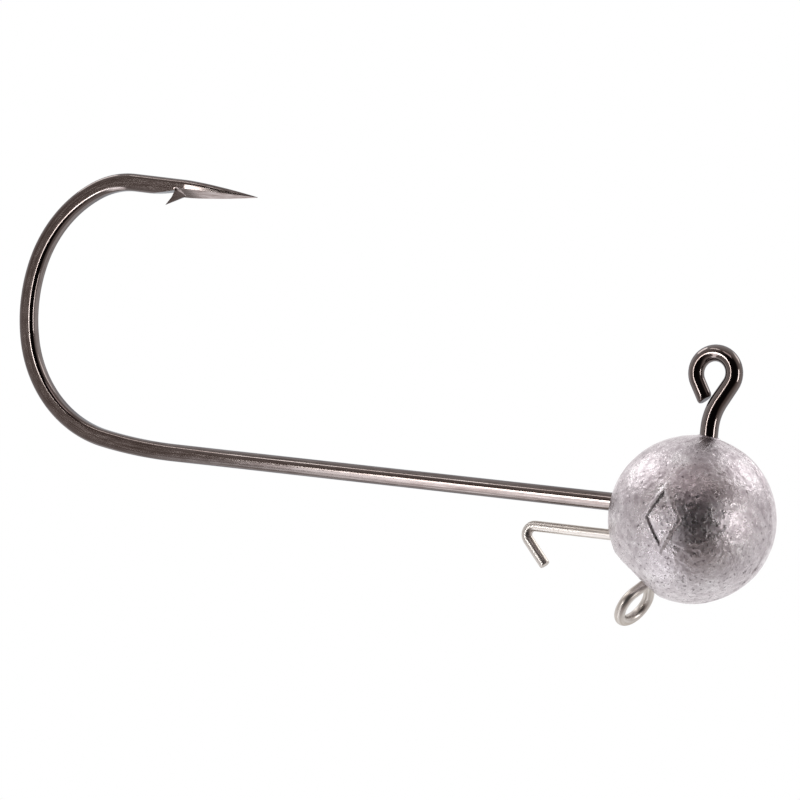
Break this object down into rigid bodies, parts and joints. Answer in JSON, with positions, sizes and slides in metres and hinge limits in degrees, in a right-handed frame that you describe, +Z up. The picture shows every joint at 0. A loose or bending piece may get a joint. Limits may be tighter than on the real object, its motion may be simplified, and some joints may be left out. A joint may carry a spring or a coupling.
{
  "type": "jig head",
  "caption": "Ball-shaped lead jig head cast round a long-shank forged hook with an upright line eye, a bent keeper wire and a stinger eye.",
  "frame": {"origin": "middle of the line eye's ring, which is what a jig head hangs from", "axes": "+X towards the nose of the ball and along the shank, +Y square to the plane the hook lies in, +Z up the stem, the way the hook's point side faces"},
  "size_m": [0.0711, 0.0136, 0.0333],
  "materials": {
    "cast_lead": "satin",
    "black_nickel": "polished",
    "bright_steel": "gloss"
  },
  "bodies": {
    "root": {"lead_head": "cast_lead", "jig_hook": "black_nickel", "keeper_wire": "bright_steel"}
  },
  "joints": []
}
